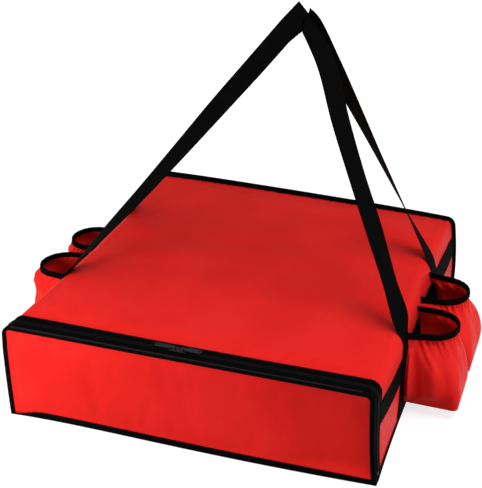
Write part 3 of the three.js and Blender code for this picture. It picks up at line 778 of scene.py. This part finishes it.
# Webbing
WEB_WIDTH = 38.0
WEB_HALF = WEB_WIDTH / 2
WEB_THICK = 1.5
BAND_LOW = 94.0
BAND_FRONT, BAND_BACK, BAND_GAP = -271.7, 293.7, 0.2
STRAP_Y = 131.0
STRAP_SHIFT = {("front", "right"): 9.0}
# How far the strap lies off the cloth, and how much more where it crosses the band
STRAP_GAP, OVER_BAND = 0.25, 1.6


def add_bands():
    y = even(BAND_FRONT, BAND_BACK, 5)
    for name, side in SIDES:
        def place(a, b, n, side=side):
            return on_sleeve(side * along_side(b), a, n)

        section = tape_section(BAND_LOW, BAND_LOW + WEB_WIDTH, BAND_GAP, BAND_GAP + WEB_THICK, 8)
        obj = strip(f"{name}_band", place, y, section, WEBBING)
        dress(obj, "bag", "webbing", f"{name}_side_band")


# Middle lines of the handles' four legs above the bag, from near the fold up to the point where all
# meet, each with the direction of the webbing's width
LEGS = {
    ("front", "left"): [(-219, -105, 241, -0.39, 0.91, 0.10), (-153, -84, 314, -0.52, 0.82, 0.24),
                        (-88, -63, 389, -0.62, 0.70, 0.34), (-24, -42, 464, -0.70, 0.57, 0.43),
                        (41, -20, 539, -0.72, 0.50, 0.48), (103, -3, 611, -0.60, 0.70, 0.40)],
    ("front", "right"): [(297, -121, 184, 0.43, 0.90, -0.08), (277, -110, 233, 0.29, 0.95, -0.08),
                         (243, -86, 311, 0.42, 0.90, -0.06), (209, -65, 387, 0.41, 0.91, -0.07),
                         (177, -44, 464, 0.48, 0.88, -0.06), (148, -21, 541, 0.52, 0.86, -0.04),
                         (114, 0, 613, 0.22, 0.97, -0.12)],
    ("back", "left"): [(-233, 105, 244, 0.38, 0.92, -0.07), (-164, 85, 317, 0.40, 0.91, -0.15),
                       (-95, 66, 391, 0.38, 0.92, -0.11), (-28, 47, 467, 0.37, 0.93, -0.09),
                       (40, 27, 538, 0.44, 0.88, -0.18), (101, 10, 596, 0.62, 0.62, -0.49)],
    ("back", "right"): [(261, 116, 232, 0.39, -0.92, -0.09), (231, 93, 308, 0.54, -0.84, -0.05),
                        (201, 70, 384, 0.66, -0.75, 0.03), (171, 47, 460, 0.79, -0.59, 0.15),
                        (140, 25, 536, 0.88, -0.38, 0.28), (111, 8, 598, 0.91, -0.17, 0.38)],
}
# The sharp fold of the front handle at the top: its middle, and its width's direction and stretch
CREASE = {"front": (104, -2.5, 613, -0.39, 0.50, 0.72)}
# How far round the bag's fold the webbing lies on it before it leaves
LEAVE_TURN = {"left": math.radians(36), "right": math.radians(18)}
# Points of the webbing's line to each of its spans, and points left out beside the sharp fold
PER_SPAN, BESIDE_CREASE = 12, 4


def curve_through(points):
    """A smooth line through rows of numbers, by cubic spans."""
    rows = np.asarray(points, float)
    rows = np.concatenate([[2 * rows[0] - rows[1]], rows, [2 * rows[-1] - rows[-2]]])
    gaps = np.linalg.norm(np.diff(rows[:, :3], axis=0), axis=1)
    length = np.concatenate([[0], np.cumsum(gaps ** 0.5)])
    result = []
    for i in range(1, len(rows) - 2):
        t0, t1, t2, t3 = length[i - 1:i + 3]
        last = i == len(rows) - 3
        for t in np.linspace(t1, t2, PER_SPAN + 1)[: PER_SPAN + 1 if last else PER_SPAN]:
            a1 = (t1 - t) / (t1 - t0) * rows[i - 1] + (t - t0) / (t1 - t0) * rows[i]
            a2 = (t2 - t) / (t2 - t1) * rows[i] + (t - t1) / (t2 - t1) * rows[i + 1]
            a3 = (t3 - t) / (t3 - t2) * rows[i + 1] + (t - t2) / (t3 - t2) * rows[i + 2]
            b1 = (t2 - t) / (t2 - t0) * a1 + (t - t0) / (t2 - t0) * a2
            b2 = (t3 - t) / (t3 - t1) * a2 + (t - t1) / (t3 - t1) * a3
            result.append((t2 - t) / (t2 - t1) * b1 + (t - t1) / (t2 - t1) * b2)
    return np.array(result)


def strap_rings(section, side, sign, place, end):
    """The side strap's sections, from its foot up to where the webbing leaves the fold."""
    s = even(along_side(RIM_FOOT), SIDE_TOP - FOLD * LEAVE_TURN[side], 4)
    above = HEIGHT - FOLD + SIDE_TOP - s - BAND_LOW
    over_band = smooth(-7, -2, above) * (1 - smooth(WEB_WIDTH + 2, WEB_WIDTH + 7, above))
    depth = (STRAP_GAP + OVER_BAND * over_band)[:, None] + section[None, :, 1]
    middle = end * STRAP_Y + STRAP_SHIFT.get((place, side), 0.0)
    return on_sleeve(sign * s[:, None], middle + section[None, :, 0], depth)


def add_webbing():
    section = np.array(tape_section(-WEB_HALF, WEB_HALF, 0.0, WEB_THICK, 10, 0.4))
    for place, end in ENDS:
        left, right = (strap_rings(section, side, sign, place, end) for side, sign in SIDES)

        def middle_row(ring, sign):
            centre = ring.mean(0)
            width = ring[np.argmax(section[:, 0])] - ring[np.argmin(section[:, 0])]
            return np.concatenate([centre, sign * width / np.linalg.norm(width)])

        flips = -end
        rows = [middle_row(left[-6], 1), middle_row(left[-1], 1), *LEGS[place, "left"],
                *LEGS[place, "right"][::-1], middle_row(right[-1], flips), middle_row(right[-6], flips)]
        if place in CREASE:
            crease, fold = CREASE[place], 1 + len(LEGS[place, "left"])
            first = curve_through([*rows[:fold], crease])[PER_SPAN:-BESIDE_CREASE]
            last = curve_through([crease, *rows[fold + 2:]])[BESIDE_CREASE:-PER_SPAN]
            path = np.concatenate([first, [crease], last])
        else:
            path = curve_through(rows)[PER_SPAN:-PER_SPAN]
        centre, width = path[:, :3], path[:, 3:]
        way = np.gradient(centre, axis=0)
        way /= np.linalg.norm(way, axis=1)[:, None]
        width -= way * (way * width).sum(1)[:, None]
        width /= np.linalg.norm(width, axis=1)[:, None]
        out = np.cross(way, width)
        if place in CREASE:
            width[len(first)] = crease[3:]
        offset = (section - [0, WEB_THICK / 2])[None, :]
        legs = (centre[:, None, :] + width[:, None, :] * offset[..., :1]
                + out[:, None, :] * offset[..., 1:])
        tail = right[::-1]
        if flips < 0:
            order = [int(np.argmin(np.abs(section - [-w, WEB_THICK - d]).sum(1))) for w, d in section]
            tail = tail[:, order]
        rings = np.concatenate([left[:-1], legs, tail[1:]])
        obj = loft(f"{place}_webbing", rings, run_along(rings.mean(1)), run_along(section), WEBBING)
        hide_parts(f"{place}_handle", f"left_{place}_side_strap", f"right_{place}_side_strap")
        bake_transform(obj)


# Pockets on the sides
POCKET_Y = 56.0
POCKET_FLOOR = 21.5
POCKET_TOP = 144.5
# The wall's run, thickness and mesh, how far below the mouth the elastic begins, and the base
POCKET_RUN, POCKET_CLOTH, POCKET_COLUMNS, POCKET_ROWS = 270, 1.0, 241, 37
ELASTIC_LOW, ELASTIC_STEP = 9, 3
BASE_CLOTH, BASE_DROP = 1.6, -1.0
# How far the wall stands off the cloth at its seams, once more where it is sewn over the strap, and the
# depth at which the bag's own sag is left behind
POCKET_STAND, OVER_STRAP, POCKET_REACH = 2.2, (56, 60), 88
# By height: how deep the pocket is, then for the strap's side and for the other pocket's side how
# round its outer corner is, how far from its middle the wall reaches and where it is sewn on
POCKET_FORM = np.array([
    (21.5, 87, 8, 55.5, 49, 22, 55.3, 54), (32, 89, 10, 56.5, 55, 24, 55.4, 55),
    (50, 89, 15, 58, 64, 27, 55.5, 55.5), (70, 86.5, 21, 58.5, 67.5, 30, 55.5, 55.5),
    (86, 83.5, 26, 57.5, 68.5, 32, 54.5, 55.5), (100, 79.5, 31, 54.5, 67, 35, 51.5, 55),
    (113, 75.5, 36, 49, 61, 38, 46.5, 53), (124, 74.5, 39, 43.5, 53, 39, 42.5, 50),
    (134, 73.2, 40, 41, 49, 40, 41, 45), (144.5, 73, 40, 40, 46, 40, 40, 40)], float)
# The gathers' places round the wall, and how they spread out as they run down from the elastic
GATHERS, GATHER_SPREAD = np.arange(34, 236, 8.5), 0.12
# Long soft folds: place round the wall, lean, depth, half width and length
LONG_FOLDS = [(52, 0.30, 2.6, 11, 92), (98, 0.12, 1.2, 13, 92), (150, -0.16, 1.4, 12, 92),
              (196, -0.3, 1.8, 10, 92), (16, 0.70, 4.2, 6, 48), (44, 0.55, 3.0, 5, 40)]
# Upright swells and a hollow by the strap: how far out, place round the wall and half width
SWELLS = [(5.0, 6, 6), (-6.5, 18, 8), (7.5, 48, 15)]


def pocket_plan(count, depth, near_radius, near_half, near_seam, far_radius, far_half, far_seam):
    """Points and outward directions, evenly spaced, from one side seam round to the other."""
    points = [(0, -near_seam)]
    near, far = (near_radius, near_half, near_seam, -1), (far_radius, far_half, far_seam, 1)
    for radius, half, seam, turn in (near, far):
        centre = np.array([depth - radius, turn * (half - radius)])
        to_seam = np.array([0, turn * seam]) - centre
        bearing = abs(math.atan2(to_seam[1], to_seam[0]))
        start = turn * (bearing - math.acos(min(1, radius / math.hypot(*to_seam))))
        angles = np.linspace(start, 0, 24)
        arc = [tuple(centre + radius * np.array([math.cos(a), math.sin(a)])) for a in angles]
        points += arc if turn < 0 else arc[::-1]
    points = np.array([*points, (0, far_seam)])
    steps = run_along(points)
    even_steps = np.linspace(0, steps[-1], count)
    line = np.stack([np.interp(even_steps, steps, points[:, k]) for k in (0, 1)], 1)
    way = np.gradient(line, axis=0)
    way /= np.linalg.norm(way, axis=1)[:, None]
    return line, np.stack([way[:, 1], -way[:, 0]], 1)


def pocket_creases(run, height, seed):
    """Short gathers hanging from the elastic, and a few long soft folds."""
    rng = np.random.default_rng(seed)
    low = POCKET_TOP - ELASTIC_LOW - height
    under, held = np.maximum(low, 0), smooth(-2, 4, low)
    relief = np.zeros(np.broadcast(run, height).shape)
    for place in GATHERS:
        place = place + rng.uniform(-2.5, 2.5)
        wide, deep = rng.uniform(2.0, 3.2), rng.uniform(2.2, 4.4)
        long, lean = rng.uniform(9, 30), rng.uniform(-0.2, 0.2)
        lean = lean + 0.45 * (1 - smooth(60, 125, place)) - 0.45 * smooth(150, 215, place)
        aside = (run - place - lean * low) / (wide + GATHER_SPREAD * under)
        relief -= deep * np.exp(-aside ** 2) * np.exp(-(under / long) ** 1.6) * held
    for place, lean, deep, wide, long in LONG_FOLDS:
        place, lean = place + rng.uniform(-6, 6), lean + rng.uniform(-0.08, 0.08)
        along = smooth(-4, 12, low) * (1 - smooth(0.4 * long, long, low))
        relief -= deep * np.exp(-((run - place - lean * low) / wide) ** 2) * along
    swells = sum(out * np.exp(-((run - place) / wide) ** 2) for out, place, wide in SWELLS)
    relief += swells * smooth(30, 55, height) * smooth(4, 30, low)
    drape = waves(run + 30 + 0.4 * height, 105, seed + 2) * 1.3 * smooth(0, 30, height - POCKET_FLOOR)
    return relief + drape * smooth(0, 25, low)


def pocket_plans(count, height, side, end):
    """The plan at each height, and its outward directions."""
    depth, near_radius, near_half, near_seam, far_radius, far_half, far_seam = (
        np.interp(height, POCKET_FORM[:, 0], POCKET_FORM[:, k]) for k in range(1, 8))
    low = 1 - smooth(60, 125, height)
    far_radius = far_radius - 11 * end * low
    depth = depth - (0 if end < 0 else 2.5) * smooth(60, 110, height)
    if side < 0:
        full = smooth(96, 120, height) * (1 - smooth(128, 137, height))
        depth = depth + 9 * full - 4 * low
        near_radius = near_radius + (20 - near_radius * 0.2) * low
        near_half = near_half + 6 * full
    form = [depth, near_radius, near_half, near_seam, far_radius, far_half, far_seam]
    for _ in range(2):
        form = [np.convolve(np.pad(row, 1, mode="edge"), (0.25, 0.5, 0.25), "valid") for row in form]
    plans = [pocket_plan(count, *row) for row in zip(*form)]
    return np.array([plan[0] for plan in plans]), np.array([plan[1] for plan in plans])


def pocket_wall(height, side, end, seed):
    """Points of the gathered wall at each height, not yet softened, and their outward directions."""
    line, out = pocket_plans(POCKET_COLUMNS, height, side, end)
    run = np.linspace(0, POCKET_RUN, POCKET_COLUMNS)
    by_seams = smooth(0, 6, run) * smooth(0, 12, POCKET_RUN - run)
    relief = pocket_creases(run[None, :], height[:, None], seed) * by_seams
    return line + out * relief[:, :, None], out


def pocket_place(side, end, line, height, stand=None):
    """Carries plan points to the softened side: the seams on the wall, the front as deep as drawn."""
    height = np.broadcast_to(height, line.shape[:-1])
    away, along = line[..., 0], line[..., 1]
    y = end * (POCKET_Y - along)
    wall = on_box(side * (HALF + 0.2 * side), y, height)
    wall = on_box(side * HALF, y, 2 * height - wall[..., 2])
    if stand is None:
        stand = POCKET_STAND + POCKET_STAND * smooth(*OVER_STRAP, -along)
    free = np.clip(away / POCKET_REACH, 0, 1)
    x = (wall[..., 0] + side * stand) * (1 - free) + side * (HALF * free + away)
    return stack(x, y + (wall[..., 1] - y) * (1 - free), height)


def add_pocket(name, side, end, seed):
    def placed(line, level, stand=None):
        return pocket_place(side, end, line, level, stand)

    height = np.linspace(POCKET_FLOOR, POCKET_TOP, POCKET_ROWS)
    run = np.linspace(0, POCKET_RUN, POCKET_COLUMNS)
    line, out = pocket_wall(height, side, end, seed)
    level = height[:, None]
    flat = np.stack(np.broadcast_arrays(run[None, :], level), -1)
    faces = placed(line, level), placed(line - out * POCKET_CLOTH, level)
    obj = shell(f"{name}_cup_wall", *faces, flat, RED)
    dress(obj, "bag", "shell_cloth", f"{name}_pocket_wall")

    bases, bases_out = pocket_plans(61, height[:3], side, end)
    spread = np.linspace(0.02, 1, 9)[:, None, None]
    centre = np.array([1.0, 0.0])
    sheet = centre + (bases[0] - bases_out[0] * BASE_CLOTH - centre) * spread
    faces = (placed(sheet, level, BASE_DROP) for level in (POCKET_FLOOR + BASE_CLOTH, POCKET_FLOOR))
    obj = shell(f"{name}_cup_base", *faces, sheet, RED)
    dress(obj, "bag", "shell_cloth", f"{name}_pocket_base")

    section = hooked(rounded_path([(1.0, -8.0), (1.0, 0.8), (-2.4, 0.8), (-2.4, -8.0)], 1.2), 1.0)
    levels = even(POCKET_TOP - ELASTIC_LOW, POCKET_TOP, ELASTIC_STEP)
    mouth, mouth_out = pocket_plans(POCKET_COLUMNS, levels, side, end)
    share = np.clip((section[:, 1] + ELASTIC_LOW) / ELASTIC_STEP, 0, 2.999)
    row, part = share.astype(int), (share % 1)[:, None, None]
    mouth = mouth[row] * (1 - part) + mouth[row + 1] * part
    depth = section[:, :1] + waves(run, 14, seed)[None, :] * 0.3
    rings = (mouth + mouth_out[row] * depth[:, :, None]).transpose(1, 0, 2)
    rings = placed(rings, POCKET_TOP + section[None, :, 1])
    obj = loft(f"{name}_cup_elastic", rings, run, run_along(section), EDGING)
    dress(obj, "bag", "binding", f"{name}_pocket_elastic")


def add_pockets():
    for side_name, side in SIDES:
        for end_name, end in ENDS:
            add_pocket(f"{side_name}_{end_name}", side, end, 50 + 7 * (side + 1) + 3 * (end + 1))


# Sewing
# The stitches' length, the thread's radius, how far it dives and rises again, and its mesh step
STITCH, THREAD_RADIUS, STITCH_DIVE, STITCH_RISE, STITCH_STEP = 4.2, 0.3, 0.6, 0.7, 0.75


def sewn(name, body, place, corners, depth):
    """A line of stitches through corners, given as places (a, b) for place(a, b, out).

    The thread stands out at each stitch and dives into the cloth between them."""
    corners = np.array(corners, float)
    lengths = run_along(corners)
    run = even(0, lengths[-1], STITCH_STEP)
    a, b = (np.interp(run, lengths, corners[:, k]) for k in (0, 1))
    way_a, way_b = np.gradient(a, run), np.gradient(b, run)
    size = np.hypot(way_a, way_b)
    share = (run / STITCH) % 1.0
    shown = smooth(0, 0.18, share) * (1 - smooth(0.82, 1.0, share))
    turn = np.arange(5) / 5 * 2 * math.pi
    aside, rise = THREAD_RADIUS * np.cos(turn)[None, :], THREAD_RADIUS * np.sin(turn)[None, :]
    ring_a = a[:, None] - (way_b / size)[:, None] * aside
    ring_b = b[:, None] + (way_a / size)[:, None] * aside
    rings = place(ring_a, ring_b, (depth - STITCH_DIVE + STITCH_RISE * shown)[:, None] + rise)
    obj = loft(name, rings, run, THREAD_RADIUS * turn, THREAD)
    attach(obj, body)


def add_stitches():
    end = along_side(RIM_FOOT + 2)
    arch_line, hinge_line = [(-end, 0), (end, 0)], [(-235, 9.4), (302, 9.4)]
    for name, body, place, line, depth in (
            ("flap_edge", "flap", lambda a, b, n: on_rim(a, -(HALF + n), b - 5.2), arch_line, 0.0),
            ("back_edge", "bag", lambda a, b, n: on_rim(a, HALF + 0.6 + n, b - 4.6), arch_line, 0.0),
            ("sleeve_edge", "bag", lambda a, b, n: on_sleeve(a, SLEEVE_FRONT + 10.3 + b, n), arch_line,
             2.1),
            ("hinge", "flap", lambda a, b, n: on_box(a, -(HALF + n), b), hinge_line, 0.0)):
        sewn(f"{name}_stitches", body, place, line, depth)
    inset, reach = 2.6, WEB_HALF - 2.6
    band_top = BAND_LOW + WEB_WIDTH
    for name, side in SIDES:
        def on_side(a, b, n, side=side):
            return on_sleeve(side * along_side(b), a, n)

        for edge, z in (("low", BAND_LOW + inset), ("high", band_top - inset)):
            sewn(f"{name}_band_{edge}_stitches", "bag", on_side, [(-270, z), (292, z)], 1.7)
        for place, end in ENDS:
            y = end * STRAP_Y + STRAP_SHIFT.get((place, name), 0.0)
            front, back = y - reach, y + reach
            strap = [(front, 15), (front, 84), (back, 84), (back, 15)]
            sewn(f"{name}_{place}_strap_stitches", "bag", on_side, strap, 1.75)
            low, high = BAND_LOW + 3, band_top - 3
            box = [(front, low), (back, low), (back, high), (front, high)]
            cross = [*box, box[0], box[2], box[1], box[3]]
            sewn(f"{name}_{place}_box_stitches", "bag", on_side, cross, 3.35)


add_sleeve()
add_panels()
add_bottom()
add_rim_bindings()
add_foot_bindings()
add_zipper()
add_bands()
add_webbing()
add_pockets()
add_stitches()

for name in ("left_slider", "right_slider", "left_pull", "right_pull", "left_zip_stop", "right_zip_stop"):
    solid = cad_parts[name]
    solid.data.materials.clear()
    solid.data.materials.append(ZINC)


# Stage, lights and camera
def stage_material():
    """Mid grey in the light it throws back, and white to the eye but for the bag's own shadow."""
    material, tree = new_material("white_stage")
    ray = node(tree, "ShaderNodeLightPath", {}).outputs
    seen = maths(tree, "MAXIMUM", ray["Is Glossy Ray"], ray["Is Transmission Ray"])
    seen = maths(tree, "MAXIMUM", ray["Is Camera Ray"], seen)
    place = coordinate(tree, "Object")
    away = node(tree, "ShaderNodeVectorMath", {0: place}, operation="LENGTH").outputs["Value"]
    white = ramp(tree, away, 0.45, 1.3, 0.74, 1.0)
    surface(tree, {
        "Base Color": (0.38, 0.38, 0.38, 1), "Roughness": 0.9, "Specular IOR Level": 0.0,
        "Emission Color": (1, 1, 1, 1), "Emission Strength": maths(tree, "MULTIPLY", seen, white)})
    return material


def add_stage():
    """A wide floor just under the bag's lowest point."""
    size, level = 9000, -0.6
    corners = [(-size, -size, level), (size, -size, level), (size, size, level), (-size, size, level)]
    floor = mesh_object("floor", corners, [(0, 1, 2, 3)], stage_material())


def add_world():
    world = bpy.data.worlds.new("studio")
    bpy.context.scene.world = world
    world.use_nodes = True
    tree = world.node_tree
    tree.nodes.clear()
    light, white = (node(tree, "ShaderNodeBackground", {"Color": (1, 1, 1, 1), "Strength": strength})
                    for strength in (0.36, 1.0))
    seen = node(tree, "ShaderNodeLightPath", {}).outputs["Is Camera Ray"]
    mix = node(tree, "ShaderNodeMixShader", {0: seen, 1: light.outputs[0], 2: white.outputs[0]})
    node(tree, "ShaderNodeOutputWorld", {"Surface": mix.outputs[0]})


def add_light(name, place, target, size, watts):
    data = bpy.data.lights.new(name, "AREA")
    data.shape = "SQUARE"
    data.size = size
    data.energy = watts
    lamp = bpy.data.objects.new(name, data)
    lamp.location = place
    lamp.rotation_euler = (Vector(target) - Vector(place)).to_track_quat("-Z", "Y").to_euler()
    bpy.context.scene.collection.objects.link(lamp)


# The camera: focal length as a share of the picture's longer side, place in metres, and in degrees how
# far it is turned aside, looks down and is rolled
FOCAL_SHARE, SENSOR = 988.6 / 488, 36
CAMERA_PLACE = (0.55603, -1.41058, 0.97605)
CAMERA_TURN, CAMERA_DOWN, CAMERA_ROLL = 21.834, 26.913, -2.144


def add_camera():
    data = bpy.data.cameras.new("camera")
    data.sensor_width = SENSOR
    data.sensor_fit = "AUTO"
    data.lens = FOCAL_SHARE * SENSOR
    data.clip_start, data.clip_end = 0.05, 50
    camera = bpy.data.objects.new("camera", data)
    yaw, pitch, roll = (math.radians(angle) for angle in (CAMERA_TURN, CAMERA_DOWN, CAMERA_ROLL))
    forward = Vector((-math.sin(yaw) * math.cos(pitch), math.cos(yaw) * math.cos(pitch), -math.sin(pitch)))
    level = Vector((math.cos(yaw), math.sin(yaw), 0))
    rise = level.cross(forward)
    right = level * math.cos(roll) + rise * math.sin(roll)
    up = rise * math.cos(roll) - level * math.sin(roll)
    turn = Matrix((right, up, -forward)).transposed()
    camera.matrix_world = Matrix.Translation(CAMERA_PLACE) @ turn.to_4x4()
    bpy.context.scene.collection.objects.link(camera)
    bpy.context.scene.camera = camera


add_stage()
add_world()
add_light("front_light", (-0.62, -0.85, 0.34), (-0.1, -0.2, 0.1), size=0.5, watts=7.9)
add_light("top_light", (-0.1, -0.45, 1.7), (0, 0, 0.1), size=2.2, watts=10.5)
add_light("key_light", (0.75, -0.35, 1.25), (0, 0, 0.16), size=0.8, watts=9.5)
add_light("side_light", (1.25, -0.05, 0.22), (0.3, 0, 0.1), size=0.5, watts=4.2)
add_camera()
bpy.context.scene.view_settings.view_transform = "Standard"
